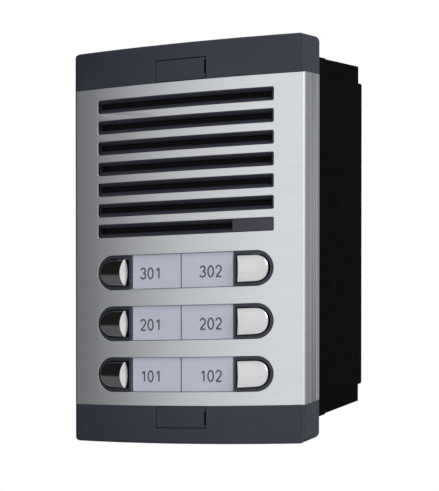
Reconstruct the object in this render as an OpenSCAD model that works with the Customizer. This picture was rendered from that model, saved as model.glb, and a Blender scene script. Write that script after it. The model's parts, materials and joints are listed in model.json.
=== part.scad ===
// Door intercom panel: a bowed aluminium front with a slotted speaker grille and three rows of
// name cards and call buttons, plastic end caps, the electronics behind it, and its flush wall box.
// X points right, Y points into the wall, Z points up. Y = 0 is the face of the wall.

/* [Front panel] */
// Width of the panel
panel_w = 120; // [118:0.5:124]
// Height of the panel
panel_h = 189; // [188:0.5:194]
// Depth of the panel's side, from the wall to the front corner
side_depth = 19.5; // [19:0.1:20]
// How far the bowed front stands out beyond its corners
crown_rise = 6.5; // [6:0.1:7]
// Wall of the aluminium front
plate_wall = 2; // [1.8:0.1:2]
// Radius of the corner between front and side
corner_r = 1.8; // [1.5:0.1:3]
// Height of each end cap
cap_h = 18; // [18:0.5:19]
// Rounding of the end caps' outer edges
cap_edge_r = 1.5; // [0.5:0.1:2]
// Radius of the end caps' outer corners
cap_corner_r = 3; // [1:0.1:3.5]

/* [Speaker grille] */
// Number of sound slots
slot_count = 7; // [5:1:7]
// Distance from one slot to the next
slot_pitch = 10; // [9.5:0.1:10]
// Height of a slot in the aluminium
slot_h = 6.3; // [6:0.1:6.6]
// Top edge of the first slot
slot_top_z = 70.6; // [70:0.1:71]
// Radius of the slots' corners
slot_corner_r = 0.8; // [0.6:0.1:1.5]
// Height of the gap at the bottom of a slot's funnel
slot_gap_h = 2.8; // [2:0.1:3.2]
// Where the blanked end of the lowest slot starts
blank_x = 26; // [20:1:32]

/* [Call rows] */
// Width of the slots and of the call rows
opening_w = 91.2; // [90:0.2:92]
// Height of a call row
row_h = 16.5; // [16:0.1:17]
// Distance from one row to the next
row_pitch = 24.5; // [24:0.1:24.5]
// Centre of the top row
top_row_z = -12.7; // [-13.5:0.1:-12.5]
// Half width of the name field between the buttons
name_half_w = 27.2; // [26.5:0.1:27.4]

/* [Call buttons] */
// Height of a button
button_h = 12.4; // [12:0.1:12.8]
// Distance from the panel's centre to the corners of a button's flat side
button_flat_x = 29; // [29:0.1:30]
// How far the flat side bulges towards the name field
flat_bulge = 0.7; // [0.2:0.1:0.8]
// Distance from the panel's centre to a button's round end
button_end_x = 43.6; // [43:0.1:43.6]
// How far the low edge of a button's flat side stands out
button_rim = 1.7; // [1.6:0.1:2]
// Height of the slanted facet, and of the crowned face across it
facet_rise = 2.5; // [2.2:0.1:2.9]
// Width of the slanted facet
facet_run = 1.6; // [1.2:0.1:2]
// Angle at which the face falls away towards the round end
face_fall = 11.7; // [10:0.1:12]

/* [Speaker] */
// Radius of the speaker's flange
speaker_r = 28.4; // [27:0.1:28.4]
// Height of the speaker's centre
speaker_z = 37.4; // [36:0.1:38]

/* [Wall box] */
// Width of the box's body
box_w = 114.4; // [112:0.2:115]
// Width of the box over its raised sides
box_pad_w = 118; // [117:0.2:118]
// Height of the box
box_h = 170; // [170:0.5:172]
// Depth of the box in the wall
box_depth = 65; // [55:1:80]
// Wall of the box
box_wall = 2; // [1.8:0.1:2.2]
// Depth of the box's front flange
flange_depth = 12.5; // [10:0.5:14]
// Width between the fixing holes in the back
hole_spacing_x = 70; // [60:1:80]
// Height between the fixing holes in the back
hole_spacing_z = 120; // [110:1:130]

/* [Hidden] */

$fn = 64;
eps = 0.01;
left = -1;
right = 1;

// Bowed front: an arc across the width, its centre behind the wall
half_w = panel_w / 2;
crown_y = -side_depth - crown_rise;
arc_r = (half_w * half_w + crown_rise * crown_rise) / (2 * crown_rise);
arc_cy = crown_y + arc_r;
plate_z = panel_h / 2 - cap_h;

// Layers behind the front, as distances in from its surface
slip = 0.05;
grille_back = plate_wall + slip + 2;
mesh_front = grille_back + slip;
mesh_back = mesh_front + 0.25;
bracket_front = mesh_back + slip;
frame_flange_back = plate_wall + slip + 1.5;
window_front = 0.1;
window_back = 1;
card_front = 1.05;
card_back = 1.35;
pocket_back = 1.4;

// Levels along Y
cover_plate_y = -3;
cover_back_y = -1;
bracket_back_y = -16;
ring_back_y = -14;
ledge_y = -19.5;
sleeve_back_y = -15.5;
button_flange_y = -15.2;
button_back_y = -14;
dome_top_y = -11.75;
keypad_y = -8;
board_t = 1.6;
audio_y = 2;
tub_floor_y = 12;
tub_back_y = 14;
pocket_floor_y = -15;

// Fixing screws, end caps and their covers
screw_z = plate_z + 4.75;
cap_wall = 2.5;
cover_half_w = 12.7;
cover_h = 10.2;
cover_gap = 0.3;

// Rear cover's tub, and what is mounted in it
cover_half_w_rear = half_w - cap_wall - 0.3;
cover_half_h = panel_h / 2 - cap_wall - 0.3;
tub_half_w = 46;
tub_half_h = 74;
rail_x = 52;
rail_z = plate_z - 3;
cover_screw_x = 54.6;
cover_screw_z = 40;
peg_x = 47.5;
peg_zs = [-8, -68];
audio_half_w = 41;
audio_low_z = -68;
audio_high_z = 10;
post_x = 38;
post_zs = [-62, 4];
trimmer_x = 25;
trimmer_z = -30;
terminal_z = -58;
terminal_count = 6;
terminal_pitch = 5;
mic_x = -30;
grommet_y = 35;
grommet_bore_r = 4.5;

row_half = opening_w / 2;
well_x = button_end_x - button_h / 2;
button_mid_x = (button_flat_x + button_end_x) / 2;
dome_x = button_mid_x;
crown_radius = (pow(button_h / 2, 2) + pow(facet_rise, 2)) / (2 * facet_rise);

function row_z(row) = top_row_z - (3 - row) * row_pitch;
function slot_z(i) = slot_top_z - slot_h / 2 - i * slot_pitch;
function front_y(x, inset = 0) = arc_cy - sqrt(pow(arc_r - inset, 2) - x * x);
mic_z = slot_z(slot_count - 1);

// ---------- shared shapes ----------

// Outline of the panel across its width, a distance inside its surface, open to the wall at rear_y
module outline(inset = 0, rear_y = 0) {
    r = arc_r - inset;
    half = half_w - inset;
    rc = max(corner_r - inset, 0.3);
    cx = half - rc;
    cy = arc_cy - sqrt(pow(r - rc, 2) - cx * cx);
    touch_x = cx * r / (r - rc);
    intersection() {
        translate([0, arc_cy]) circle(r, $fn = 360);
        translate([-touch_x, crown_y - 1]) square([2 * touch_x, rear_y - crown_y + 1]);
    }
    translate([-half, cy]) square([2 * half, rear_y - cy]);
    for (s = [-1, 1]) translate([s * cx, cy]) circle(rc);
}

module outline_block(inset, z0, z1, rear_y = 0) {
    translate([0, 0, z0]) linear_extrude(z1 - z0) outline(inset, rear_y);
}

// Sheet that follows the bowed front between two depths, over a width and a height
module bowed_sheet(front, back, x0, x1, z0, z1) {
    intersection() {
        translate([0, arc_cy, z0]) difference() {
            cylinder(r = arc_r - front, h = z1 - z0, $fn = 360);
            translate([0, 0, -1]) cylinder(r = arc_r - back, h = z1 - z0 + 2, $fn = 360);
        }
        translate([x0, crown_y - 1, z0 - 1]) cube([x1 - x0, side_depth, z1 - z0 + 2]);
    }
}

// Block behind the bowed front: bowed ahead, flat at back_y
module bowed_block(front, back_y, x0, x1, z0, z1) {
    intersection() {
        translate([0, arc_cy, z0]) cylinder(r = arc_r - front, h = z1 - z0, $fn = 360);
        translate([x0, crown_y - 1, z0 - 1]) cube([x1 - x0, back_y - crown_y + 1, z1 - z0 + 2]);
    }
}

// Carries a flat drawing in X and Z along Y
module along_y(y0, y1) {
    translate([0, y1, 0]) rotate([90, 0, 0]) linear_extrude(y1 - y0) children();
}

module rod_y(x, z, r, y0, y1) {
    translate([x, y0, z]) rotate([-90, 0, 0]) cylinder(r = r, h = y1 - y0);
}

module block(x0, x1, y0, y1, z0, z1) {
    translate([x0, y0, z0]) cube([x1 - x0, y1 - y0, z1 - z0]);
}

// Turns a profile of [radius, y] points about an axis along Y
module turned_y(x, z, points) {
    translate([x, 0, z]) rotate([-90, 0, 0]) rotate_extrude() polygon(points);
}

module rounded_rect(w, h, r) {
    square([w - 2 * r, h], center = true);
    square([w, h - 2 * r], center = true);
    for (sx = [-1, 1], sy = [-1, 1])
        translate([sx * (w / 2 - r), sy * (h / 2 - r)]) circle(r);
}

module stadium(w, h) {
    square([w - h, h], center = true);
    for (s = [-1, 1]) translate([s * (w - h) / 2, 0]) circle(h / 2);
}

// Outline of a right-hand button over its bulge, grown by a margin
module button_outline(grow = 0) {
    r = button_h / 2 + grow;
    x0 = button_flat_x - flat_bulge - grow;
    translate([x0, -r]) square([well_x - x0, 2 * r]);
    translate([well_x, 0]) circle(r);
}

module on_side(side) {
    mirror([side < 0 ? 1 : 0, 0, 0]) children();
}

// Tube of round section swept through a list of points, closed at both ends
module swept_tube(points, r, sides = 8) {
    count = len(points);
    function step(i) = points[min(i + 1, count - 1)] - points[max(i - 1, 0)];
    rings = [for (i = [0:count - 1])
        let (d = step(i) / norm(step(i)), u = cross(d, [1, 0, 0]) / norm(cross(d, [1, 0, 0])),
             v = cross(d, u))
        [for (k = [0:sides - 1]) points[i] + r * (cos(360 * k / sides) * u + sin(360 * k / sides) * v)]];
    skin = [for (i = [0:count - 2], k = [0:sides - 1])
        let (n = (k + 1) % sides)
        [i * sides + k, i * sides + n, (i + 1) * sides + n, (i + 1) * sides + k]];
    first = [[for (k = [sides - 1:-1:0]) k]];
    last = [[for (k = [0:sides - 1]) (count - 1) * sides + k]];
    polyhedron([for (ring = rings) each ring], concat(skin, first, last));
}

// Smooth curve through four control points, in equal steps of its parameter
function bend(a, b, c, d, steps) = [for (i = [0:steps])
    let (t = i / steps, s = 1 - t) s * s * s * a + 3 * s * s * t * b + 3 * s * t * t * c + t * t * t * d];

// ---------- wall box ----------

module back_box() {
    half = box_w / 2;
    high = box_h / 2;
    pad = box_pad_w / 2;
    flange_half = pad - 0.6;
    pad_high = 76;
    color("#15161a") difference() {
        union() {
            difference() {
                union() {
                    block(-half, half, 0, box_depth, -high, high);
                    block(-flange_half, flange_half, 0, flange_depth, -high, high);
                    translate([-pad, 0, 0]) rotate([90, 0, 90]) linear_extrude(2 * pad)
                        translate([box_depth / 2, 0]) rounded_rect(box_depth, 2 * pad_high, 1.5);
                }
                block(-half + box_wall, half - box_wall, -1, box_depth - box_wall,
                    -high + box_wall, high - box_wall);
            }
            for (s = [-1, 1]) intersection() {
                union() {
                    rod_y(0, s * screw_z, 4.5, 0, 24);
                    block(-4.5, 4.5, 0, 24, s > 0 ? screw_z : -high + 1, s > 0 ? high - 1 : -screw_z);
                }
                block(-half, half, 0, 24, -high + eps, high - eps);
            }
        }
        for (s = [-1, 1]) rod_y(0, s * screw_z, 2.95, -1, 22);
        for (sx = [-1, 1], sz = [-1, 1])
            rod_y(sx * hole_spacing_x / 2, sz * hole_spacing_z / 2, 2.25,
                box_depth - box_wall - 1, box_depth + 1);
        translate([0, grommet_y, -high - 1]) cylinder(r = 8, h = box_wall + 2);
        for (x = [-30, 30]) knock_out_z(x, high);
        for (z = [-25, 25]) knock_out_y(z);
    }
}

// Scored ring of a knock-out in the top of the box
module knock_out_z(x, high) {
    translate([x, grommet_y, high - 0.7]) difference() {
        cylinder(r = 10.4, h = 1);
        translate([0, 0, -1]) cylinder(r = 9.6, h = 3);
    }
}

// Scored ring of a knock-out in the back of the box
module knock_out_y(z) {
    difference() {
        rod_y(0, z, 12.9, box_depth - 0.7, box_depth + 1);
        rod_y(0, z, 12.1, box_depth - 1.7, box_depth + 2);
    }
}

module box_inserts() {
    color("#b8923a") for (s = [-1, 1]) difference() {
        rod_y(0, s * screw_z, 2.9, 0.2, 10.2);
        rod_y(0, s * screw_z, 2.05, -1, 12);
    }
}

module cable_grommet() {
    bottom = -box_h / 2;
    color("#1c1c1c") translate([0, grommet_y, bottom]) rotate_extrude() polygon([
        [grommet_bore_r, -1.5], [9.5, -1.5], [10.5, -0.8], [10.5, -slip], [7.9, -slip],
        [7.9, box_wall + slip], [10.5, box_wall + slip], [9.5, box_wall + 1.5],
        [grommet_bore_r, box_wall + 1.5]]);
}

module wall_gasket() {
    color("#2a2a2c") difference() {
        block(-cover_half_w_rear, cover_half_w_rear, cover_back_y, 0, -cover_half_h, cover_half_h);
        block(-50, 50, cover_back_y - 1, 1, -77, 77);
        for (s = [-1, 1]) rod_y(0, s * screw_z, 3, cover_back_y - 1, 1);
    }
}

// ---------- aluminium front and end caps ----------

module face_plate() {
    groove = 0.05;
    color("#c9ccd2") difference() {
        union() {
            difference() {
                outline_block(0, -plate_z, plate_z);
                outline_block(plate_wall, -plate_z - 1, plate_z + 1, 1);
            }
            for (s = [-1, 1])
                translate([s * (rail_x + half_w - 1) / 2, -6, 0])
                    cube([half_w - 1 - rail_x, 5.9, 2 * rail_z], center = true);
        }
        for (i = [0:slot_count - 1])
            translate([0, 0, slot_z(i)])
                along_y(crown_y - 1, -17) rounded_rect(opening_w, slot_h, slot_corner_r);
        for (row = [1:3])
            translate([0, 0, row_z(row)]) along_y(crown_y - 1, -17) stadium(opening_w, row_h);
        for (s = [-1, 1], y = [-12, -8, -4])
            translate([s * half_w, y, 0])
                cube([2 * groove, y == -8 ? 1.4 : 0.7, 2 * plate_z + 2], center = true);
        for (sx = [-1, 1], sz = [-1, 1])
            rod_y(sx * cover_screw_x, sz * cover_screw_z, 1.3, -8.6, -2);
    }
}

// Top cap; the bottom cap is the same moulding turned over
module end_cap() {
    top = panel_h / 2;
    boss_top = plate_z + 12;
    color("#3b3d45") difference() {
        union() {
            difference() {
                cap_outside(top);
                outline_block(cap_wall, plate_z - 1, top - cap_wall, 1);
            }
            intersection() {
                cap_outside(top);
                block(-15.5, 15.5, crown_y - 1, -11.5, plate_z, boss_top);
            }
            rod_y(0, screw_z, 4.4, -12, cover_plate_y - slip);
            cap_tongue();
        }
        block(-cover_half_w - cover_gap, cover_half_w + cover_gap, crown_y - 1, pocket_floor_y,
            plate_z - 4, plate_z + cover_h + cover_gap);
        rod_y(0, screw_z, 2.3, pocket_floor_y - 1, 0);
    }
}

// Outside of the cap, with its end edges rounded
module cap_outside(top) {
    intersection() {
        outline_block(0, plate_z, top);
        translate([0, arc_cy, plate_z]) rotate_extrude($fn = 360) {
            square([arc_r - cap_edge_r, cap_h]);
            square([arc_r, cap_h - cap_edge_r]);
            translate([arc_r - cap_edge_r, cap_h - cap_edge_r]) circle(cap_edge_r);
        }
        along_y(crown_y - 1, 1) rounded_rect(panel_w, 2 * top, cap_corner_r);
    }
}

// Tongue that slips inside the end of the aluminium
module cap_tongue() {
    inner = plate_wall + 0.1;
    intersection() {
        difference() {
            outline_block(inner, plate_z - 2.5, plate_z + 2);
            outline_block(inner + 1.8, plate_z - 3, plate_z + 3, 1);
        }
        block(-half_w, half_w, crown_y, cover_plate_y - 1, plate_z - 3, plate_z + 3);
    }
}

module top_cap() {
    end_cap();
}

module bottom_cap() {
    mirror([0, 0, 1]) end_cap();
}

// Snap-in cover over the fixing screw of the top cap, with a notch at its right to lift it by
module screw_cover() {
    low = plate_z + cover_gap;
    high = plate_z + cover_h;
    back_y = -22.4;
    mid = (low + high) / 2;
    notch_w = 0.7;
    notch_z = mid + 0.6;
    notch_half_h = 3.25;
    color("#42454f") difference() {
        union() {
            bowed_block(0.05, back_y, -cover_half_w, cover_half_w, low, high);
            for (s = [-1, 1]) {
                x0 = s > 0 ? 10.2 : -11.7;
                block(x0, x0 + 1.5, back_y - eps, -17.5, mid - 2.5, mid + 2.5);
            }
        }
        block(cover_half_w - notch_w, cover_half_w + 1, crown_y - 1, back_y - 1,
            notch_z - notch_half_h, notch_z + notch_half_h);
    }
}

module top_screw_cover() {
    screw_cover();
}

module bottom_screw_cover() {
    mirror([0, 0, 1]) screw_cover();
}

module fixing_screws() {
    color("#b9bcc2") for (s = [-1, 1]) difference() {
        union() {
            turned_y(0, s * screw_z, [[0, pocket_floor_y - 2.6], [2.4, pocket_floor_y - 2.6],
                [3.8, pocket_floor_y - 1.4], [3.8, pocket_floor_y], [0, pocket_floor_y]]);
            rod_y(0, s * screw_z, 1.98, pocket_floor_y - eps, 15);
        }
        for (a = [0, 90])
            translate([0, pocket_floor_y - 2, s * screw_z]) rotate([0, a, 0])
                cube([4, 1.6, 0.9], center = true);
    }
}

// ---------- speaker and microphone ----------

// Funnel of one slot, turned about the centre of the bow so that its rim keeps one width
module slot_funnel(z, x0, x1) {
    rim = slot_h / 2 - 0.35;
    gap = slot_gap_h / 2;
    left_slope = 0.3;
    right_slope = 1.5;
    front = front_y(row_half) - 0.2;
    back = front + 2;
    intersection() {
        translate([0, arc_cy, z]) rotate_extrude($fn = 360) polygon([
            [arc_r - grille_back - 1, -gap], [arc_r - 2.1, -gap], [arc_r - 0.1, -rim], [arc_r + 1, -rim],
            [arc_r + 1, rim], [arc_r - 0.1, rim], [arc_r - 2.1, gap], [arc_r - grille_back - 1, gap]]);
        translate([0, 0, z - slot_h]) linear_extrude(2 * slot_h) polygon([
            [x0, crown_y - 2], [x1, crown_y - 2], [x1, front], [x1 - right_slope, back],
            [x1 - right_slope, -15], [x0 + left_slope, -15], [x0 + left_slope, back], [x0, front]]);
    }
}

module speaker_grille() {
    fit = 0.15;
    end = row_half - 0.45;
    last = slot_count - 1;
    color("#34363e") difference() {
        union() {
            bowed_sheet(plate_wall + slip, grille_back, -50, 50, 2, 73);
            intersection() {
                bowed_sheet(0.15, plate_wall + 1, -row_half, row_half, 2, 73);
                union() for (i = [0:last])
                    translate([0, 0, slot_z(i)]) along_y(crown_y - 1, -17)
                        rounded_rect(opening_w - 2 * fit, slot_h - 2 * fit, slot_corner_r - fit);
            }
        }
        for (i = [0:last]) slot_funnel(slot_z(i), -end, i == last ? blank_x : end);
    }
}

module acoustic_mesh() {
    color("#101012") bowed_sheet(mesh_front, mesh_back, -47, 47, 3, 72);
}

module speaker_bracket() {
    color("#2b2c30") difference() {
        union() {
            bowed_block(bracket_front, bracket_back_y, -49, 49, 2.2, 72.8);
            rod_y(0, speaker_z, speaker_r + 2.6, bracket_back_y - 1, ring_back_y);
            rod_y(mic_x, mic_z, 7.6, bracket_back_y - 1, -12.5);
        }
        rod_y(0, speaker_z, speaker_r - 3.4, crown_y, ring_back_y + 1);
        rod_y(0, speaker_z, speaker_r + 0.3, ledge_y, ring_back_y + 1);
        rod_y(mic_x, mic_z, 1.4, crown_y, -12);
        rod_y(mic_x, mic_z, 6.05, -17.5, -12);
    }
}

module speaker_gasket() {
    color("#3a3a3a") difference() {
        rod_y(0, speaker_z, speaker_r, ledge_y, ledge_y + 0.5);
        rod_y(0, speaker_z, speaker_r - 3.2, ledge_y - 1, ledge_y + 1);
    }
}

module speaker_frame() {
    y0 = ledge_y + 0.5;
    color("#8f9296") union() {
        turned_y(0, speaker_z, [[speaker_r - 3, y0], [speaker_r, y0], [speaker_r, y0 + 0.8],
            [speaker_r - 2.2, y0 + 0.8], [15.6, -7], [8, -7], [8, -8], [15, -8], [speaker_r - 3, y0 + 0.6]]);
        difference() {
            block(-5, 5, -13, -9.5, speaker_z - 22, speaker_z - 15);
            turned_y(0, speaker_z, [[0, -20], [speaker_r - 2.6, y0 + 0.5], [15.3, -7.5], [0, -7.5]]);
        }
    }
}

module speaker_magnet() {
    color("#2f3033") union() {
        rod_y(0, speaker_z, 14, -7, 0);
        rod_y(0, speaker_z, 12.5, -eps, 1.5);
    }
}

// Paper cone with its rolled edge, centre cap and voice coil
module speaker_cone() {
    y0 = ledge_y + 0.5;
    color("#1b1b1d") union() {
        turned_y(0, speaker_z, [[25.2, y0 + 0.05], [25.2, y0 + 0.45], [22, y0 + 0.9], [7, -11.6], [7, -8.5],
            [6.5, -8.5], [6.5, -12.4], [21.8, y0 + 0.3], [23.4, y0 - 0.4]]);
        intersection() {
            translate([0, -4.2, speaker_z]) difference() {
                sphere(10.5);
                sphere(10);
            }
            rod_y(0, speaker_z, 6.8, -16, -12);
        }
    }
}

module microphone_boot() {
    color("#202022") difference() {
        rod_y(mic_x, mic_z, 6, -17.5, -12.6);
        rod_y(mic_x, mic_z, 4.9, -16.5, -12);
        rod_y(mic_x, mic_z, 1.4, -18, -12);
    }
}

module microphone_capsule() {
    color("#a9acb0") union() {
        rod_y(mic_x, mic_z, 4.85, -16.45, -13.2);
        for (s = [-1, 1]) rod_y(mic_x + s * 1.3, mic_z, 0.5, -13.2 - eps, -12.4);
    }
}

// ---------- call rows ----------

module row_frame(row) {
    flange_w = opening_w + 4;
    flange_h = row_h + 4;
    fit = 0.08;
    color("#3a3d48") translate([0, 0, row_z(row)]) difference() {
        intersection() {
            union() {
                along_y(crown_y - 1, sleeve_back_y) stadium(opening_w - 2 * fit, row_h - 2 * fit);
                intersection() {
                    along_y(crown_y - 1, sleeve_back_y) stadium(flange_w, flange_h);
                    bowed_sheet(plate_wall + slip, frame_flange_back, -50, 50, -row_h, row_h);
                }
            }
            bowed_block(0.1, sleeve_back_y, -50, 50, -row_h, row_h);
        }
        for (side = [left, right]) on_side(side) along_y(crown_y - 2, 0) button_outline(0.45);
        bowed_sheet(-1, pocket_back, -name_half_w, name_half_w, -row_h, row_h);
        for (x0 = [-23, 2]) block(x0, x0 + 21, crown_y - 1, 0, -5.5, 5.5);
        bowed_pocket();
    }
}

// Hollow behind a row's name field, for the light diffuser
module bowed_pocket() {
    difference() {
        block(-24, 24, crown_y, 0, -6, 6);
        bowed_sheet(-2, frame_flange_back, -25, 25, -7, 7);
    }
}

// Milky blocks that spread the backlight under the name cards
module light_diffusers() {
    color("#e9eaec") for (row = [1:3])
        translate([0, 0, row_z(row)])
            bowed_block(frame_flange_back + slip, ring_back_y, -22.8, 22.8, -5.4, 5.4);
}

module name_window(row, side) {
    x0 = side < 0 ? -name_half_w + 0.15 : 0.2;
    half_h = row_h / 2 - 0.12;
    color("#dfe3ec") translate([0, 0, row_z(row)])
        bowed_sheet(window_front, window_back, x0, x0 + name_half_w - 0.35, -half_h, half_h);
}

module name_card(row, side) {
    card_w = name_half_w - 1.5;
    x0 = side < 0 ? -card_w - 0.3 : 0.3;
    half_h = row_h / 2 - 0.25;
    color("#b6bac6") translate([0, 0, row_z(row)])
        bowed_sheet(card_front, card_back, x0, x0 + card_w, -half_h, half_h);
}

// Chromed button: crowned face that falls away towards the round end, slanted facet on its flat
// side, flange and stem behind
module button(row, side) {
    facet_y = front_y(button_flat_x) - button_rim;
    tilt = asin(button_mid_x / arc_r) + face_fall;
    bulge_r = (pow(button_h / 2, 2) + pow(flat_bulge, 2)) / (2 * flat_bulge);
    color("#d5d7da") translate([0, 0, row_z(row)]) on_side(side) difference() {
        union() {
            intersection() {
                along_y(crown_y - 5, button_back_y) button_outline();
                rod_y(button_flat_x - flat_bulge + bulge_r, 0, bulge_r,
                    crown_y - 5, button_back_y, $fn = 256);
                translate([button_flat_x + facet_run, facet_y - facet_rise, 0]) rotate([0, 0, tilt])
                    translate([0, crown_radius, 0]) rotate([0, 90, 0])
                        cylinder(r = crown_radius, h = 60, center = true, $fn = 128);
            }
            along_y(button_flange_y, button_back_y) button_outline(1);
            rod_y(dome_x, 0, 2.2, button_back_y - eps, dome_top_y - slip);
        }
        translate([button_flat_x, facet_y, 0]) rotate([0, 0, -atan(facet_rise / facet_run)])
            translate([-10, -10, -10]) cube([20, 10, 20]);
    }
}

// Silicone dome that returns a button and closes its contact
module return_dome(row, side) {
    top = dome_top_y;
    color("#4a4a4e") turned_y(side * dome_x, row_z(row), [[0, top], [2.9, top], [4, keypad_y - 1],
        [4.8, keypad_y - 0.8], [4.8, keypad_y], [3.6, keypad_y], [3.6, keypad_y - 1], [2.6, top + 0.9],
        [1.5, top + 0.9], [1.5, top + 1.6], [0, top + 1.6]]);
}

module keypad_board() {
    color("#1f5c38") difference() {
        block(-50.5, 50.5, keypad_y, keypad_y + board_t, -73, -3);
        for (s = [-1, 1], z = peg_zs) rod_y(s * peg_x, z, 1.5, keypad_y - 1, keypad_y + 3);
    }
}

module backlight_leds() {
    color("#f3f0d8") for (row = [1:3], x = [-14, 0, 14])
        block(x - 1.5, x + 1.5, keypad_y - 0.9, keypad_y, row_z(row) - 1.4, row_z(row) + 1.4);
}

// ---------- electronics in the rear cover ----------

module board_connector() {
    color("#1d1d1f") block(-13, 13, keypad_y + board_t, audio_y, -15, -10);
}

module audio_board() {
    color("#1f5c38") difference() {
        block(-audio_half_w, audio_half_w, audio_y, audio_y + board_t, audio_low_z, audio_high_z);
        for (s = [-1, 1], z = post_zs) rod_y(s * post_x, z, 1.5, audio_y - 1, audio_y + 3);
    }
}

module audio_components() {
    color("#28282b") {
        block(-22, -12, audio_y - 1.8, audio_y, -34, -28);
        block(8, 20, audio_y - 1.8, audio_y, -38, -30);
        block(24, 34, audio_y - 5, audio_y, -56, -44);
    }
    color("#33415f") for (x = [-30, -22, -14]) rod_y(x, -50, 3.2, audio_y - 7, audio_y);
}

module trimmer_bases() {
    top = audio_y + board_t;
    color("#2c5aa0") for (s = [-1, 1]) difference() {
        block(s * trimmer_x - 4, s * trimmer_x + 4, top, top + 4, trimmer_z - 4, trimmer_z + 4);
        rod_y(s * trimmer_x, trimmer_z, 3.08, top + 2.8, top + 5);
    }
}

// Slotted rotor of a trimmer
module trimmer_rotor(side) {
    top = audio_y + board_t;
    color("#e6e6e6") difference() {
        rod_y(side * trimmer_x, trimmer_z, 3, top + 2.85, top + 5.4);
        block(side * trimmer_x - 2.4, side * trimmer_x + 2.4, top + 4.4, top + 6,
            trimmer_z - 0.4, trimmer_z + 0.4);
    }
}

module terminal_block() {
    half = terminal_count * terminal_pitch / 2;
    color("#2f7d4a") difference() {
        block(-half, half, audio_y + board_t, 18, terminal_z - 5, terminal_z + 5);
        for (i = [0:terminal_count - 1]) {
            x = (i - (terminal_count - 1) / 2) * terminal_pitch;
            rod_y(x, terminal_z + 1.5, 1.9, 16.2, 19);
            translate([x, 16, terminal_z - 6]) cylinder(r = 1.3, h = 5);
        }
    }
}

module terminal_screws() {
    color("#b9bcc2") for (i = [0:terminal_count - 1]) {
        x = (i - (terminal_count - 1) / 2) * terminal_pitch;
        difference() {
            rod_y(x, terminal_z + 1.5, 1.7, 16.2, 17.4);
            block(x - 2, x + 2, 16.9, 18, terminal_z + 1.2, terminal_z + 1.8);
        }
    }
}

module rear_cover() {
    inner_w = tub_half_w - 2;
    inner_h = tub_half_h - 2;
    color("#26272b") difference() {
        union() {
            block(-cover_half_w_rear, cover_half_w_rear, cover_plate_y, cover_back_y,
                -cover_half_h, cover_half_h);
            difference() {
                block(-tub_half_w, tub_half_w, cover_plate_y, tub_back_y, -tub_half_h, tub_half_h);
                block(-inner_w, inner_w, cover_plate_y - 1, tub_floor_y, -inner_h, inner_h);
            }
            for (s = [-1, 1], z = peg_zs) {
                rod_y(s * peg_x, z, 2.6, keypad_y + board_t, cover_plate_y + eps);
                rod_y(s * peg_x, z, 1.4, keypad_y - 0.6, keypad_y + board_t + eps);
            }
        }
        block(-inner_w, inner_w, cover_plate_y - 1, tub_floor_y, -inner_h, inner_h);
        block(-16, 16, 0, 20, terminal_z - 6, terminal_z + 6);
        for (s = [-1, 1]) {
            rod_y(s * trimmer_x, trimmer_z, 4, 10, 16);
            rod_y(0, s * screw_z, 2.4, cover_plate_y - 1, 1);
            for (z = [-cover_screw_z, cover_screw_z])
                turned_y(s * cover_screw_x, z, [[0, cover_plate_y - 1], [1.5, cover_plate_y - 1],
                    [1.5, -2.3], [2.8, -1], [2.8, 0], [0, 0]]);
        }
    }
    color("#26272b") for (s = [-1, 1], z = post_zs) difference() {
        rod_y(s * post_x, z, 3, audio_y + board_t, tub_floor_y + 1);
        rod_y(s * post_x, z, 1.25, 0, 11);
    }
}

// Screws that hold the rear cover to the front, and the audio board to the rear cover
module cover_screws() {
    color("#9fa3a8") {
        for (sx = [-1, 1], z = [-cover_screw_z, cover_screw_z])
            turned_y(sx * cover_screw_x, z, [[0, -8], [1.2, -7.6], [1.2, -2.4], [2.55, -1.05], [0, -1.05]]);
        for (sx = [-1, 1], z = post_zs)
            turned_y(sx * post_x, z, [[0, audio_y - 1.5], [2.2, audio_y - 1.5], [2.5, audio_y - 1.1],
                [2.5, audio_y], [1.2, audio_y], [1.2, 9.5], [0, 9.9]]);
    }
}

// Leads of the speaker and the microphone, each from its terminal to the audio board
module inner_wires() {
    r = 0.6;
    speaker_low = speaker_z - 22;
    color("#b33b2e") for (s = [-1, 1]) {
        x = s * 2.5;
        swept_tube(bend([x, -11.2, speaker_low], [x, -11.2, 7], [x, -8, 7], [x, audio_y, 7], 20), r);
        xm = mic_x + s * 1.3;
        swept_tube(bend([xm, -12.4, mic_z], [xm, -7, mic_z], [xm, -4, 5], [xm, audio_y, 5], 14), r);
    }
}

back_box();
box_inserts();
cable_grommet();
wall_gasket();
face_plate();
top_cap();
bottom_cap();
top_screw_cover();
bottom_screw_cover();
fixing_screws();
speaker_grille();
acoustic_mesh();
speaker_bracket();
speaker_gasket();
speaker_frame();
speaker_magnet();
speaker_cone();
microphone_boot();
microphone_capsule();
row_frame(3);  // row_frame_3
row_frame(2);  // row_frame_2
row_frame(1);  // row_frame_1
light_diffusers();
name_window(3, left);  // name_window_301
name_window(3, right);  // name_window_302
name_window(2, left);  // name_window_201
name_window(2, right);  // name_window_202
name_window(1, left);  // name_window_101
name_window(1, right);  // name_window_102
name_card(3, left);  // name_card_301
name_card(3, right);  // name_card_302
name_card(2, left);  // name_card_201
name_card(2, right);  // name_card_202
name_card(1, left);  // name_card_101
name_card(1, right);  // name_card_102
button(3, left);  // button_301
button(3, right);  // button_302
button(2, left);  // button_201
button(2, right);  // button_202
button(1, left);  // button_101
button(1, right);  // button_102
return_dome(3, left);  // return_dome_301
return_dome(3, right);  // return_dome_302
return_dome(2, left);  // return_dome_201
return_dome(2, right);  // return_dome_202
return_dome(1, left);  // return_dome_101
return_dome(1, right);  // return_dome_102
keypad_board();
backlight_leds();
board_connector();
audio_board();
audio_components();
trimmer_bases();
trimmer_rotor(left);  // speaker_trimmer
trimmer_rotor(right);  // microphone_trimmer
terminal_block();
terminal_screws();
rear_cover();
cover_screws();
inner_wires();
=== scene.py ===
"""Looks of the door intercom panel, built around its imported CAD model."""

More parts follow.
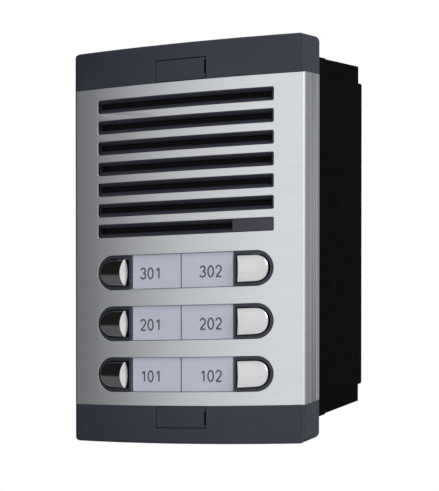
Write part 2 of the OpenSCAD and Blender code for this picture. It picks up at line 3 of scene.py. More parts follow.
import json
import math

import bmesh
import bpy
from mathutils import Matrix, Vector

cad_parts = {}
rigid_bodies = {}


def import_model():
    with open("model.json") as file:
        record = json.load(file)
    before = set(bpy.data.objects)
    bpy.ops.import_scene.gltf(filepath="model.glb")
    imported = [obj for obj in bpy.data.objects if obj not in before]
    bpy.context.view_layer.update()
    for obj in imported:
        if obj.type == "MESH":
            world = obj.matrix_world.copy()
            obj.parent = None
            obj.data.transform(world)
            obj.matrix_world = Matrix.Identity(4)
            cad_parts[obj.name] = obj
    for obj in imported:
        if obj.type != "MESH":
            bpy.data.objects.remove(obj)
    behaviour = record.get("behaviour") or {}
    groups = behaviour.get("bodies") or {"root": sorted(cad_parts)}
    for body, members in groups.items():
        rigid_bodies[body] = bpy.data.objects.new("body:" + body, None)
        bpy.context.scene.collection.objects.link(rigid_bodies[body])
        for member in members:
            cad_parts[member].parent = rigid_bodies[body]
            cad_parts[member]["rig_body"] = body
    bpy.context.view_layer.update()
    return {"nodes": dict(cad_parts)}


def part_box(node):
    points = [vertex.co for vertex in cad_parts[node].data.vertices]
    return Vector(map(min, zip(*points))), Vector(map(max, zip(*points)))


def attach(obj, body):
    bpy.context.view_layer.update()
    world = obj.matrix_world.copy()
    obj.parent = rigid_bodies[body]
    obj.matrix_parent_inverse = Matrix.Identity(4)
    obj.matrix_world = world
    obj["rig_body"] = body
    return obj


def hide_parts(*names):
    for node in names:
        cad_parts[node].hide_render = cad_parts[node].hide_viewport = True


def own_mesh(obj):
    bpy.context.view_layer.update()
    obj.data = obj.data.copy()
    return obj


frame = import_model()
MM = 0.001

# ---------- measures of the CAD model, in metres ----------

PANEL_LOW, PANEL_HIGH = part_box("face_plate")
HALF_W = PANEL_HIGH.x
CROWN_Y = PANEL_LOW.y
CROWN_RISE = 6.5 * MM
ARC_R = (HALF_W ** 2 + CROWN_RISE ** 2) / (2 * CROWN_RISE)
ARC_CY = CROWN_Y + ARC_R
ROWS = {3: "30", 2: "20", 1: "10"}
SIDES = {-1: "1", 1: "2"}


def front_y(x, inset=0.0):
    """Y of the bowed front at x, or of a layer that lies inset behind it."""
    return ARC_CY - math.sqrt((ARC_R - inset) ** 2 - x * x)


def call_name(row, side):
    return ROWS[row] + SIDES[side]


# ---------- camera, backdrop and light ----------

CAMERA_AZIMUTH, CAMERA_ELEVATION = 23.696, 0.816
CAMERA_DISTANCE, CAMERA_LENS = 0.7556, 114.087
CAMERA_SHIFT_RIGHT, CAMERA_SHIFT_UP = 0.00799, -0.00204
CAMERA_SHEAR = 0.0477


def make_camera():
    """Camera at the photograph's angle, sheared so that upright lines stay upright and level ones rise."""
    az, el = math.radians(CAMERA_AZIMUTH), math.radians(CAMERA_ELEVATION)
    back = Vector((math.sin(az) * math.cos(el), -math.cos(az) * math.cos(el), math.sin(el)))
    right = (-back).cross(Vector((0, 0, 1))).normalized()
    up = right.cross(-back)
    data = bpy.data.cameras.new("camera")
    data.lens, data.sensor_width = CAMERA_LENS, 36
    data.clip_start, data.clip_end = 0.01, 50
    camera = bpy.data.objects.new("camera", data)
    stand = bpy.data.objects.new("camera_stand", None)
    for item in (camera, stand):
        bpy.context.scene.collection.objects.link(item)
    place = CAMERA_DISTANCE * back + CAMERA_SHIFT_RIGHT * right + CAMERA_SHIFT_UP * up
    sheared = Matrix((right - CAMERA_SHEAR * up, up, back)).transposed()
    camera.parent = stand
    camera.matrix_parent_inverse = Matrix.Translation(place) @ sheared.to_4x4()
    bpy.context.scene.camera = camera


def ramp(nodes, stops, ease="LINEAR"):
    """Colour ramp node with (position, grey or colour) stops."""
    node = nodes.new("ShaderNodeValToRGB")
    node.color_ramp.interpolation = ease
    elements = node.color_ramp.elements
    while len(elements) > 1:
        elements.remove(elements[-1])
    for i, (position, value) in enumerate(stops):
        element = elements[0] if i == 0 else elements.new(position)
        element.position = position
        colour = value if isinstance(value, tuple) else (value, value, value)
        element.color = (*colour, 1)
    return node


def math_node(nodes, links, operation, a, b=None):
    node = nodes.new("ShaderNodeMath")
    node.operation = operation
    for socket, value in zip(node.inputs, (a, b)):
        if value is None:
            continue
        if isinstance(value, (int, float)):
            socket.default_value = value
        else:
            links.new(value, socket)
    return node.outputs[0]


# Brightness of the studio by azimuth, in degrees from straight ahead of the panel towards +X
STUDIO_LEVEL = [(-180, 0.1), (-130, 0.012), (-60, 0.012), (-45, 0.32), (-24, 0.75), (0, 1.0), (15, 0.78),
                (88, 0.8), (110, 0.5), (140, 0.38), (156, 0.32), (180, 0.15)]
STUDIO_BELOW = [(-180, 0.1), (-130, 0.1), (-60, 0.1), (-45, 0.2), (-24, 0.6), (0, 0.85), (15, 0.75),
                (40, 0.75), (80, 0.6), (95, 0.42), (140, 0.3), (156, 0.27), (180, 0.12)]
STUDIO_OVERHEAD = 0.72
SOFTBOX_AZIMUTH = [(30, 0.0), (52, 1.0), (88, 1.0), (108, 0.0)]
SOFTBOX_HEIGHT = [(0.3, 0.0), (0.5, 1.0), (0.8, 1.0), (0.92, 0.0)]
SOFTBOX_LEVEL = 3.5


def by_azimuth(stops):
    return [((azimuth + 180) / 360, value) for azimuth, value in stops]


def make_studio():
    """Soft surround: light ahead and to the right, dark to the left, a softbox high on the right, and a white
    backdrop that only the camera sees."""
    world = bpy.data.worlds.new("studio")
    bpy.context.scene.world = world
    world.use_nodes = True
    nodes, links = world.node_tree.nodes, world.node_tree.links
    nodes.clear()

    def look_up(stops, source):
        node = ramp(nodes, stops, "EASE")
        links.new(source, node.inputs[0])
        return node.outputs[0]

    def blend(factor, a, b):
        node = nodes.new("ShaderNodeMix")
        node.data_type = "RGBA"
        for socket, value in (("Factor", factor), ("A", a), ("B", b)):
            if isinstance(value, float):
                node.inputs[socket].default_value = (value, value, value, 1)
            else:
                links.new(value, node.inputs[socket])
        return node.outputs["Result"]

    def glow(colour, strength):
        node = nodes.new("ShaderNodeBackground")
        if isinstance(colour, tuple):
            node.inputs["Color"].default_value = colour
        else:
            links.new(colour, node.inputs["Color"])
        node.inputs["Strength"].default_value = strength
        return node.outputs[0]

    split = nodes.new("ShaderNodeSeparateXYZ")
    links.new(nodes.new("ShaderNodeTexCoord").outputs["Generated"], split.inputs[0])
    x, y, z = split.outputs
    turn = math_node(nodes, links, "ARCTAN2", x, math_node(nodes, links, "MULTIPLY", y, -1.0))
    share = math_node(nodes, links, "ADD", math_node(nodes, links, "DIVIDE", turn, 2 * math.pi), 0.5)
    height = math_node(nodes, links, "ADD", math_node(nodes, links, "MULTIPLY", z, 0.5), 0.5)
    level = look_up(by_azimuth(STUDIO_LEVEL), share)
    below = look_up(by_azimuth(STUDIO_BELOW), share)
    around = blend(look_up([(0.38, 1.0), (0.46, 0.0)], height), level, below)
    steep = look_up([(0.78, 0.0), (0.94, 1.0)], math_node(nodes, links, "ABSOLUTE", z))
    surround = glow(blend(steep, around, STUDIO_OVERHEAD), 1.0)
    softbox = math_node(nodes, links, "MULTIPLY", look_up(by_azimuth(SOFTBOX_AZIMUTH), share),
                        look_up(SOFTBOX_HEIGHT, z))
    add = nodes.new("ShaderNodeAddShader")
    links.new(surround, add.inputs[0])
    links.new(glow(softbox, SOFTBOX_LEVEL), add.inputs[1])
    choose = nodes.new("ShaderNodeMixShader")
    links.new(nodes.new("ShaderNodeLightPath").outputs["Is Camera Ray"], choose.inputs[0])
    links.new(add.outputs[0], choose.inputs[1])
    links.new(glow((1, 1, 1, 1), 1.0), choose.inputs[2])
    links.new(choose.outputs[0], nodes.new("ShaderNodeOutputWorld").inputs["Surface"])


FLOOR_Z, FLOOR_R = -0.22, 0.33


def make_floor():
    """Pale round floor below the object."""
    bm = bmesh.new()
    bmesh.ops.create_circle(bm, cap_ends=True, segments=128, radius=FLOOR_R)
    mesh = bpy.data.meshes.new("floor")
    bm.to_mesh(mesh)
    bm.free()
    floor = bpy.data.objects.new("floor", mesh)
    floor.location.z = FLOOR_Z
    bpy.context.scene.collection.objects.link(floor)
    f = Finish("floor_pale")
    f.colour(f.noise(6, 3), (0.80, 0.80, 0.81), (0.84, 0.84, 0.85))
    f.rough(f.noise(40, 3), 0.7, 0.8)
    mesh.materials.append(f.material)
    floor.visible_glossy = False


# ---------- materials ----------

class Finish:
    """A node material that is put together step by step around one shader."""

    def __init__(self, name, **fixed):
        self.material = bpy.data.materials.new(name)
        self.material.use_nodes = True
        tree = self.material.node_tree
        self.nodes, self.links = tree.nodes, tree.links
        self.shader = self.nodes["Principled BSDF"]
        for socket, value in fixed.items():
            self.shader.inputs[socket.replace("_", " ")].default_value = value
        self.place = self.nodes.new("ShaderNodeTexCoord").outputs["Object"]
        self.height = None

    def noise(self, scale, detail=4.0, rough=0.55, stretch=(1, 1, 1)):
        """Noise in metres: scale is how many features lie in a metre."""
        mapping = self.nodes.new("ShaderNodeMapping")
        mapping.inputs["Scale"].default_value = stretch
        self.links.new(self.place, mapping.inputs["Vector"])
        node = self.nodes.new("ShaderNodeTexNoise")
        node.inputs["Scale"].default_value = scale
        node.inputs["Detail"].default_value = detail
        node.inputs["Roughness"].default_value = rough
        self.links.new(mapping.outputs[0], node.inputs["Vector"])
        return node.outputs[0]

    def cells(self, scale, feature="F1", randomness=1.0):
        node = self.nodes.new("ShaderNodeTexVoronoi")
        node.feature = feature
        node.inputs["Scale"].default_value = scale
        node.inputs["Randomness"].default_value = randomness
        self.links.new(self.place, node.inputs["Vector"])
        return node.outputs[0]

    def waves(self, scale, direction, distortion=0.0):
        node = self.nodes.new("ShaderNodeTexWave")
        node.bands_direction = direction
        node.inputs["Scale"].default_value = scale
        node.inputs["Distortion"].default_value = distortion
        self.links.new(self.place, node.inputs["Vector"])
        return node.outputs[1]

    def colour(self, source, dark, light, low=0.3, high=0.7):
        """Base colour that runs from dark to light with the source."""
        node = ramp(self.nodes, [(low, dark), (high, light)])
        self.links.new(source, node.inputs[0])
        self.tint = node.outputs[0]
        self.links.new(self.tint, self.shader.inputs["Base Color"])
        return self

    def paint_edge_highlight(self, light, share=0.5, low=0.52, high=0.6):
        """Painted highlight: edges made a little lighter, where the surface turns outwards."""
        # painted highlight: a lighter colour mixed in where Pointiness finds an outward edge
        edge = ramp(self.nodes, [(low, 0.0), (high, share)])
        self.links.new(self.nodes.new("ShaderNodeNewGeometry").outputs["Pointiness"], edge.inputs[0])
        mix = self.nodes.new("ShaderNodeMix")
        mix.data_type = "RGBA"
        self.links.new(edge.outputs[0], mix.inputs["Factor"])
        self.links.new(self.tint, mix.inputs["A"])
        mix.inputs["B"].default_value = (*light, 1)
        self.links.new(mix.outputs["Result"], self.shader.inputs["Base Color"])
        return self

    def rough(self, source, low, high):
        node = self.nodes.new("ShaderNodeMapRange")
        node.inputs["To Min"].default_value = low
        node.inputs["To Max"].default_value = high
        node.inputs["From Min"].default_value = 0.25
        node.inputs["From Max"].default_value = 0.75
        self.links.new(source, node.inputs["Value"])
        self.links.new(node.outputs[0], self.shader.inputs["Roughness"])
        return self

    def bump(self, source, depth, strength=1.0):
        """Relief of a real depth in metres; a second call adds to the first."""
        node = self.nodes.new("ShaderNodeBump")
        node.inputs["Distance"].default_value = depth
        node.inputs["Strength"].default_value = strength
        self.links.new(source, node.inputs["Height"])
        if self.height is not None:
            self.links.new(self.height, node.inputs["Normal"])
        self.height = node.outputs[0]
        self.links.new(self.height, self.shader.inputs["Normal"])
        return self


def shade(colour, factor):
    return tuple(min(1.0, c * factor) for c in colour)


def moulded(name, colour, low, high, grain=2600, depth=0.004 * MM, edge=1.8, **fixed):
    """Moulded plastic: faint mottling, fine spark-eroded grain and a painted highlight on the edges."""
    f = Finish(name, **fixed)
    f.colour(f.noise(60, 3), shade(colour, 0.9), shade(colour, 1.08))
    # painted highlight on the edges: edge sets how much lighter they are than the plastic
    f.paint_edge_highlight(shade(colour, edge))
    f.rough(f.noise(300, 4), low, high)
    f.bump(f.noise(grain, 2), depth)
    return f.material


def brushed_aluminium():
    f = Finish("brushed_aluminium", Metallic=1.0, Anisotropic=0.6, Anisotropic_Rotation=0.25)
    grain = f.noise(1, 5, 0.6, (14, 14, 3200))
    streak = f.noise(1, 3, 0.5, (5, 5, 420))
    f.colour(grain, (0.74, 0.76, 0.79), (0.80, 0.82, 0.855))
    f.rough(streak, 0.36, 0.40)
    f.bump(grain, 0.003 * MM, 0.5)
    tangent = f.nodes.new("ShaderNodeTangent")
    tangent.direction_type, tangent.axis = "RADIAL", "Z"
    f.links.new(tangent.outputs[0], f.shader.inputs["Tangent"])
    return f.material


def button_chrome():
    f = Finish("button_chrome", Metallic=1.0)
    f.colour(f.noise(90, 3), (0.80, 0.80, 0.81), (0.86, 0.86, 0.87))
    f.rough(f.noise(700, 4), 0.07, 0.13)
    f.bump(f.noise(260, 2), 0.006 * MM, 0.5)
    return f.material


def window_clear():
    f = Finish("window_clear", IOR=1.49, Alpha=0.07)
    f.colour(f.noise(120, 2), (0.50, 0.53, 0.60), (0.56, 0.58, 0.64))
    f.rough(f.noise(400, 4), 0.10, 0.18)
    f.bump(f.noise(350, 2), 0.004 * MM, 0.5)
    return f.material


def card_white():
    f = Finish("card_white")
    f.colour(f.noise(900, 5), (0.58, 0.61, 0.71), (0.64, 0.67, 0.78))
    f.rough(f.noise(1500, 3), 0.75, 0.9)
    f.bump(f.noise(5000, 3), 0.01 * MM, 0.4)
    return f.material


def print_ink():
    f = Finish("print_ink")
    f.colour(f.noise(4000, 3), (0.018, 0.019, 0.026), (0.030, 0.031, 0.040))
    f.rough(f.noise(3000, 2), 0.6, 0.75)
    return f.material


def silicone_grey():
    f = Finish("silicone_grey", Subsurface_Weight=0.1, Subsurface_Scale=0.001)
    f.colour(f.noise(150, 3), (0.10, 0.10, 0.11), (0.14, 0.14, 0.15))
    f.rough(f.noise(500, 3), 0.5, 0.65)
    f.bump(f.noise(3000, 2), 0.005 * MM)
    return f.material


def rubber(name, colour, depth=0.01 * MM):
    f = Finish(name)
    f.colour(f.noise(400, 4), shade(colour, 0.8), shade(colour, 1.15))
    f.rough(f.noise(800, 3), 0.7, 0.85)
    f.bump(f.noise(4000, 3), depth)
    return f.material


def foam_grey():
    f = Finish("foam_grey")
    pores = f.cells(2600)
    f.colour(pores, (0.012, 0.012, 0.013), (0.045, 0.045, 0.048), 0.05, 0.5)
    f.rough(f.noise(900, 3), 0.85, 0.95)
    f.bump(pores, 0.08 * MM)
    return f.material


def turned_metal(name, dark, light, low, high, scale=1800):
    """Plated or turned metal with fine tool marks."""
    f = Finish(name, Metallic=1.0)
    f.colour(f.noise(200, 4), dark, light)
    f.rough(f.noise(600, 4), low, high)
    f.bump(f.noise(scale, 3), 0.004 * MM, 0.7)
    return f.material


def mesh_black():
    """Woven cloth: threads both ways, a quarter of a millimetre apart."""
    f = Finish("mesh_black", Specular_IOR_Level=0.2)
    across, up = f.waves(1250, "X"), f.waves(1250, "Z")
    weave = math_node(f.nodes, f.links, "MAXIMUM", across, up)
    f.colour(weave, (0.001, 0.001, 0.0012), (0.007, 0.007, 0.009), 0.2, 0.9)
    f.rough(f.noise(600, 3), 0.8, 0.95)
    f.bump(weave, 0.06 * MM)
    return f.material


def cone_paper():
    f = Finish("cone_paper")
    fibre = f.noise(1500, 6, 0.7)
    f.colour(fibre, (0.012, 0.012, 0.014), (0.04, 0.04, 0.045))
    f.rough(f.noise(400, 3), 0.75, 0.9)
    f.bump(fibre, 0.04 * MM)
    return f.material


def milky_acrylic():
    f = Finish("milky_acrylic", IOR=1.49, Subsurface_Weight=0.4, Subsurface_Scale=0.004)
    f.colour(f.noise(120, 2), (0.78, 0.79, 0.80), (0.86, 0.87, 0.88))
    f.rough(f.noise(500, 3), 0.3, 0.42)
    f.bump(f.noise(1500, 2), 0.004 * MM)
    return f.material


def circuit_green():
    """Solder mask over copper tracks: the tracks stand a little proud and look lighter."""
    f = Finish("circuit_green", Coat_Weight=0.3, Coat_Roughness=0.2)
    across, up = f.waves(95, "X", 6), f.waves(80, "Z", 5)
    tracks = math_node(f.nodes, f.links, "MAXIMUM", across, up)
    f.colour(tracks, (0.008, 0.06, 0.025), (0.02, 0.14, 0.06), 0.8, 0.86)
    f.rough(f.noise(900, 3), 0.3, 0.42)
    f.bump(tracks, 0.03 * MM, 0.5)
    return f.material


def led_white():
    f = Finish("led_white", Coat_Weight=0.5)
    f.colour(f.noise(700, 2), (0.70, 0.66, 0.42), (0.85, 0.83, 0.66))
    f.rough(f.noise(500, 2), 0.15, 0.25)
    f.bump(f.noise(900, 2), 0.004 * MM)
    return f.material


def wire_red():
    f = Finish("wire_red", Coat_Weight=0.2)
    f.colour(f.noise(200, 3), (0.30, 0.02, 0.015), (0.42, 0.035, 0.025))
    f.rough(f.noise(600, 3), 0.35, 0.5)
    f.bump(f.noise(1200, 2), 0.01 * MM)
    return f.material


def make_finishes():
    made = [
        brushed_aluminium(), button_chrome(), window_clear(), card_white(), print_ink(), silicone_grey(),
        foam_grey(), mesh_black(), cone_paper(), milky_acrylic(), circuit_green(), led_white(), wire_red(),
        moulded("cap_grey", (0.027, 0.032, 0.047), 0.34, 0.44, Specular_IOR_Level=0.36),
        moulded("cover_grey", (0.018, 0.022, 0.038), 0.34, 0.44),
        moulded("grille_grey", (0.030, 0.031, 0.050), 0.38, 0.5),
        moulded("frame_grey", (0.016, 0.019, 0.034), 0.3, 0.4),
        moulded("box_black", (0.0008, 0.0008, 0.0016), 0.55, 0.7, 1700, 0.012 * MM, Specular_IOR_Level=0.03),
        moulded("inner_black", (0.012, 0.012, 0.013), 0.45, 0.6, 1900, 0.010 * MM),
        moulded("component_black", (0.010, 0.010, 0.011), 0.4, 0.55),
        # edge sets the strength of the painted highlight on the edges of these mouldings
        moulded("trimmer_blue", (0.03, 0.10, 0.33), 0.3, 0.45, edge=1.3),
        moulded("trimmer_white", (0.72, 0.72, 0.70), 0.35, 0.5, edge=1.1),
        moulded("terminal_green", (0.03, 0.20, 0.07), 0.35, 0.5, edge=1.3),
        rubber("rubber_black", (0.012, 0.012, 0.012)),
        turned_metal("brass", (0.55, 0.36, 0.12), (0.72, 0.52, 0.22), 0.25, 0.4),
        turned_metal("zinc_steel", (0.50, 0.51, 0.53), (0.66, 0.67, 0.70), 0.28, 0.42),
        turned_metal("magnet_grey", (0.16, 0.16, 0.17), (0.24, 0.24, 0.25), 0.4, 0.55),
    ]
    return {m.name: m for m in made}


def take_slots():
    """Material slot of each CAD node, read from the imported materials, which are then dropped."""
    found = {name: obj.data.materials[0].name for name, obj in frame["nodes"].items()}
    for obj in frame["nodes"].values():
        obj.data.materials.clear()
    for packed in list(bpy.data.materials):
        bpy.data.materials.remove(packed)
    return found


# ---------- shapes ----------

SHARP_TURN = math.radians(55)


def add_piece(name, bm, slot_name, body, *nodes):
    """Turns a bmesh into a piece of the object: its finish, its body, and the CAD nodes it stands for."""
    mesh = bpy.data.meshes.new(name)
    bmesh.ops.recalc_face_normals(bm, faces=bm.faces)
    bm.to_mesh(mesh)
    bm.free()
    set_normals(mesh)
    piece = bpy.data.objects.new(name, mesh)
    bpy.context.scene.collection.objects.link(piece)
    mesh.materials.append(FINISHES[slot_name])
    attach(piece, body)
    if nodes:
        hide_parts(*nodes)
    return piece


def set_normals(mesh):
    """Smooth shading: large faces keep their direction, and layers of the bow follow it exactly."""
    total = [Vector() for _ in mesh.vertices]
    for face in mesh.polygons:
        for v in face.vertices:
            total[v] += face.normal * face.area
    normals = [None] * len(mesh.loops)
    for face in mesh.polygons:
        face.use_smooth = True
        centre = Vector((face.center.x, face.center.y - ARC_CY, 0)).normalized()
        bowed = abs(face.normal.dot(centre)) > math.cos(math.radians(1.5)) and face.center.y < -0.01
        for loop in face.loop_indices:
            v = mesh.loops[loop].vertex_index
            n = total[v].normalized()
            if bowed:
                co = mesh.vertices[v].co
                n = Vector((co.x, co.y - ARC_CY, 0)).normalized()
                n = n if n.dot(face.normal) > 0 else -n
            elif n.angle(face.normal, 0) > SHARP_TURN:
                n = face.normal.copy()
            normals[loop] = n
    mesh.normals_split_custom_set(normals)


def in_flute(edge):
    """Whether an edge belongs to the shallow flutes in the sides of the front."""
    return all(abs(v.co.x) > HALF_W - 0.5 * MM and v.co.y < -1 * MM for v in edge.verts)


def soften(node, width, segments=2, turn=30):
    """Stands a rounded copy in for a CAD node: its hard edges get a real moulding or deburring radius."""
    bm = bmesh.new()
    bm.from_mesh(frame["nodes"][node].data)
    bmesh.ops.remove_doubles(bm, verts=bm.verts, dist=0.0002 * MM)
    bmesh.ops.dissolve_limit(bm, angle_limit=math.radians(0.3), verts=bm.verts, edges=bm.edges)
    hard = [e for e in bm.edges if e.is_manifold and e.calc_face_angle(0) > math.radians(turn)]
    if node == "face_plate":
        hard = [e for e in hard if not in_flute(e)]
    tight_corners = node == "back_box"
    bmesh.ops.bevel(bm, geom=hard, offset=width, offset_type="OFFSET", segments=segments, profile=0.5,
                    affect="EDGES", clamp_overlap=tight_corners)
    body = frame["nodes"][node]["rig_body"]
    return add_piece(node + "_edged", bm, NODE_SLOTS[node], body, node)


def smooth_max(a, b, radius):
    """The larger of two depths, with the crease between them rounded."""
    h = max(radius - abs(a - b), 0.0) / radius
    return max(a, b) + h * h * radius / 4


BUTTON_FLANGE = 1.0 * MM
BUTTON_FILLET = 0.45 * MM
BUTTON_RIM = 1.7 * MM
FACET_RISE, FACET_RUN, FLAT_BULGE = 2.5 * MM, 1.6 * MM, 0.7 * MM
FACE_FALL = math.radians(11.7)
BUTTON_STEM_R = 2.2 * MM
BUTTON_BACK_Y, BUTTON_FLANGE_Y = -14 * MM, -15.2 * MM


def make_button(row, side):
    """Chromed call button in one skin: crowned falling face, slanted facet, rounded rim, flange and stem."""
    node = "button_" + call_name(row, side)
    low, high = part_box(node)
    xs = sorted((abs(low.x), abs(high.x)))
    start, end = xs[0] + BUTTON_FLANGE, xs[1] - BUTTON_FLANGE
    flat = start + FLAT_BULGE
    r = (high.z - low.z) / 2 - BUTTON_FLANGE
    row_z, well, mid = (low.z + high.z) / 2, end - r, (flat + end) / 2
    tilt = math.asin(mid / ARC_R) + FACE_FALL
    crown_r = (r * r + FACET_RISE ** 2) / (2 * FACET_RISE)
    bulge_r = (r * r + FLAT_BULGE ** 2) / (2 * FLAT_BULGE)
    facet_y = front_y(flat) - BUTTON_RIM
    ridge, crest_y = flat + FACET_RUN, facet_y - FACET_RISE

    def half_height(x):
        if x < flat:
            return math.sqrt(max(bulge_r ** 2 - (start + bulge_r - x) ** 2, 0))
        return r if x <= well else math.sqrt(max(r * r - (x - well) ** 2, 0))

    def inside(x, z):
        d = r - abs(z) if x <= well else r - math.hypot(x - well, z)
        return max(min(d, bulge_r - math.hypot(start + bulge_r - x, z)), 0)

    def face_y(x, z):
        crown = (crest_y + crown_r * math.cos(tilt) + (x - ridge + crown_r * math.sin(tilt)) * math.tan(tilt)
                 - math.sqrt(crown_r ** 2 - z * z) / math.cos(tilt))
        y = smooth_max(crown, facet_y - (x - flat) * FACET_RISE / FACET_RUN, 0.2 * MM)
        d = inside(x, z)
        if d < BUTTON_FILLET:
            y += BUTTON_FILLET - math.sqrt(BUTTON_FILLET ** 2 - (BUTTON_FILLET - d) ** 2)
        return y

    columns = [start + FLAT_BULGE * (i / 16) ** 2 for i in range(1, 16)]
    turn = ridge + BUTTON_FILLET
    columns += [flat + (turn - flat) * i / 32 for i in range(32)]
    columns += [turn + (well - turn) * i / 24 for i in range(24)]
    columns += [well + r * math.sin(math.pi / 2 * i / 24) for i in range(24)]
    rows = [math.sin(math.pi / 2 * (2 * k / 48 - 1)) for k in range(49)]
    bm = bmesh.new()
    grid = [[bm.verts.new((x, face_y(x, s * half_height(x)), s * half_height(x))) for s in rows]
            for x in columns]
    root, tip = (bm.verts.new((x, face_y(x, 0), 0)) for x in (start, end))
    for a, b in zip(grid, grid[1:]):
        for k in range(len(rows) - 1):
            bm.faces.new((a[k], b[k], b[k + 1], a[k + 1]))
    for k in range(len(rows) - 1):
        bm.faces.new((grid[0][k + 1], root, grid[0][k]))
        bm.faces.new((grid[-1][k], tip, grid[-1][k + 1]))
    rim = [root] + [c[0] for c in grid] + [tip] + [c[-1] for c in reversed(grid)]
    flow = []
    for i, v in enumerate(rim):
        along = rim[(i + 1) % len(rim)].co - rim[i - 1].co
        flow.append(Vector((-along.z, 0, along.x)).normalized())
    sign = 1 if flow[0].x < 0 else -1

    def ring(points):
        return [bm.verts.new(p) for p in points]

    def at(y, out=0.0):
        return [Vector((v.co.x, y, v.co.z)) + sign * out * n for v, n in zip(rim, flow)]

    stem = []
    for v in rim:
        a = math.atan2(v.co.z, v.co.x - mid)
        stem.append((mid + BUTTON_STEM_R * math.cos(a), BUTTON_STEM_R * math.sin(a)))
    tip_y = high.y
    rings = [rim, ring(at(BUTTON_FLANGE_Y)), ring(at(BUTTON_FLANGE_Y, BUTTON_FLANGE)),
             ring(at(BUTTON_BACK_Y, BUTTON_FLANGE)), ring([(x, BUTTON_BACK_Y, z) for x, z in stem]),
             ring([(x, tip_y, z) for x, z in stem])]
    for a, b in zip(rings, rings[1:]):
        for i in range(len(a)):
            j = (i + 1) % len(a)
            bm.faces.new((a[i], a[j], b[j], b[i]))
    bm.faces.new(rings[-1])
    for v in bm.verts:
        v.co = (side * v.co.x, v.co.y, v.co.z + row_z)
    body = frame["nodes"][node]["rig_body"]
    return add_piece("chrome_cap_" + call_name(row, side), bm, "button_chrome", body, node)


def lathe(bm, x, z, profile, count=64):
    """Turns a profile of (radius, y) points about an axis along Y; radius 0 closes it."""
    rings = []
    for radius, y in profile:
        if radius == 0:
            rings.append([bm.verts.new((x, y, z))])
        else:
            rings.append([bm.verts.new((x + radius * math.cos(2 * math.pi * k / count), y,
                                        z + radius * math.sin(2 * math.pi * k / count)))
                          for k in range(count)])
    for a, b in zip(rings, rings[1:] + rings[:1]):
        if len(a) == 1 and len(b) == 1:
            continue
        for k in range(count):
            n = (k + 1) % count
            if len(a) == 1:
                bm.faces.new((a[0], b[n], b[k]))
            elif len(b) == 1:
                bm.faces.new((a[k], a[n], b[0]))
            else:
                bm.faces.new((a[k], a[n], b[n], b[k]))


def make_dome(row, side):
    """Silicone dome under a button, with its thin bell wall."""
    node = "return_dome_" + call_name(row, side)
    low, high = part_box(node)
    x, z, top, foot = (low.x + high.x) / 2, (low.z + high.z) / 2, low.y, high.y
    profile = [(0, top), (2.5, top), (2.8, top + 0.12 * MM), (2.95, top + 0.5 * MM), (3.3, top + 1.4 * MM),
               (3.75, top + 2.2 * MM), (4.1, foot - 1.1 * MM), (4.5, foot - 0.8 * MM), (4.8, foot - 0.7 * MM),
               (4.8, foot), (3.7, foot), (3.6, foot - 0.9 * MM), (3.3, top + 2.1 * MM), (2.7, top + 1.2 * MM),
               (2.4, top + 0.9 * MM), (1.5, top + 0.9 * MM), (1.4, top + 1.6 * MM), (0, top + 1.6 * MM)]
    bm = bmesh.new()
    lathe(bm, x, z, [(radius * MM, y) for radius, y in profile], 48)
    dome = add_piece("dome_" + call_name(row, side), bm, "silicone_grey", "panel", node)
    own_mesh(dome)
    return dome


NUMBER_H, NUMBER_DROP = 5.8 * MM, 0.8 * MM
DIGIT_W, DIGIT_STEP, STROKE = 3.45 * MM, 3.95 * MM, 0.78 * MM
NUMBER_MID = {-1: -16.3 * MM, 1: 15.0 * MM}
CARD_FACE, INK = 1.05 * MM, 0.015 * MM


def arc(x, y, rx, ry, start, end, count=28):
    """Points along an ellipse, between two angles in degrees."""
    turns = [math.radians(start + (end - start) * i / count) for i in range(count + 1)]
    return [(x + rx * math.cos(a), y + ry * math.sin(a)) for a in turns]


# Middle lines of each digit's strokes, in a box one wide and one high
DIGITS = {
    "0": [arc(0.5, 0.5, 0.5, 0.5, 0, 360, 48)],
    "1": [[(0.72, 1.0), (0.72, 0.0)], arc(0.14, 1.1, 0.46, 0.34, -80, -22, 8)],
    "2": [arc(0.49, 0.72, 0.47, 0.28, 172, -28) + [(0.62, 0.36), (0.30, 0.17), (0.08, 0.06)],
          [(0.0, 0.0), (1.0, 0.0)]],
    "3": [arc(0.46, 0.76, 0.43, 0.24, 168, -90), arc(0.46, 0.26, 0.50, 0.26, 90, -168)],
}


def ribbon(bm, line, place):
    """Flat stroke along a middle line; place gives a point of the ink's back (0) or face (1)."""
    closed = math.dist(line[0], line[-1]) < 1e-9
    line = line[:-1] if closed else line
    count = len(line)
    rows = []
    for i in range(count):
        a = line[i - 1] if closed or i else line[0]
        b = line[(i + 1) % count] if closed or i < count - 1 else line[-1]
        flow = Vector((b[0] - a[0], b[1] - a[1])).normalized() * (STROKE / 2)
        rows.append([bm.verts.new(place(line[i][0] + s * flow.y, line[i][1] - s * flow.x, level))
                     for s, level in ((-1, 0), (-1, 1), (1, 1), (1, 0))])
    for i in range(count if closed else count - 1):
        a, b = rows[i], rows[(i + 1) % count]
        for k in range(4):
            bm.faces.new((a[k], b[k], b[(k + 1) % 4], a[(k + 1) % 4]))
    if not closed:
        bm.faces.new(rows[0])
        bm.faces.new(rows[-1][::-1])


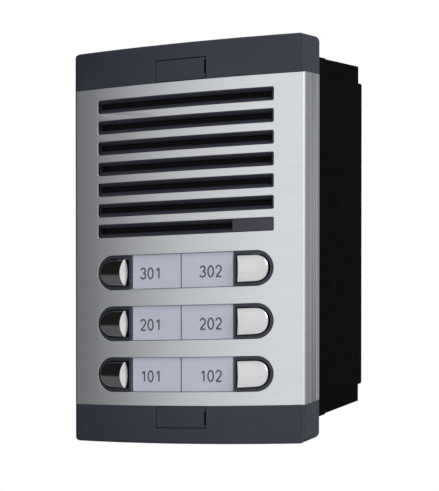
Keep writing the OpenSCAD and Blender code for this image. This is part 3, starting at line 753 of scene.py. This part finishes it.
def make_number(row, side):
    """Apartment number printed on a name card: thin ink that follows the card's bow."""
    text = call_name(row, side)
    low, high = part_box("name_card_" + text)
    foot = (low.z + high.z) / 2 - NUMBER_DROP - NUMBER_H / 2 + STROKE / 2
    bm = bmesh.new()
    for i, digit in enumerate(text):
        start = NUMBER_MID[side] + (i - 1) * DIGIT_STEP - DIGIT_W / 2 + STROKE / 2

        def place(u, v, level):
            return start + u, front_y(start + u, CARD_FACE - INK * (0.3 + level)), foot + v

        for line in DIGITS[digit]:
            ribbon(bm, [(u * (DIGIT_W - STROKE), v * (NUMBER_H - STROKE)) for u, v in line], place)
    return add_piece("number_" + text, bm, "print_ink", "panel")


EDGE_WIDTHS = {
    "face_plate": 0.25, "top_cap": 0.3, "bottom_cap": 0.3, "top_screw_cover": 0.2, "bottom_screw_cover": 0.2,
    "speaker_grille": 0.12, "row_frame_3": 0.08, "row_frame_2": 0.08, "row_frame_1": 0.08,
    "back_box": 0.3, "rear_cover": 0.2, "speaker_bracket": 0.2, "wall_gasket": 0.2, "terminal_block": 0.15,
    "audio_components": 0.2, "trimmer_bases": 0.15, "board_connector": 0.2, "backlight_leds": 0.15,
    "light_diffusers": 0.3, "keypad_board": 0.1, "audio_board": 0.1, "cable_grommet": 0.3, "box_inserts": 0.1,
    "fixing_screws": 0.1, "cover_screws": 0.08, "terminal_screws": 0.06, "speaker_magnet": 0.4,
    "speaker_frame": 0.1, "microphone_capsule": 0.1, "microphone_boot": 0.1, "speaker_trimmer": 0.08,
    "microphone_trimmer": 0.08, "speaker_gasket": 0.08,
}
for number in ("301", "302", "201", "202", "101", "102"):
    EDGE_WIDTHS["name_window_" + number] = 0.15


make_camera()
make_studio()
make_floor()
NODE_SLOTS = take_slots()
FINISHES = make_finishes()
bpy.context.scene.view_settings.view_transform = "Standard"

for node, obj in frame["nodes"].items():
    obj.data.materials.append(FINISHES[NODE_SLOTS[node]])

for node, width in EDGE_WIDTHS.items():
    soften(node, width * MM)
for row in ROWS:
    for side in SIDES:
        make_button(row, side)
        make_dome(row, side)
        make_number(row, side)
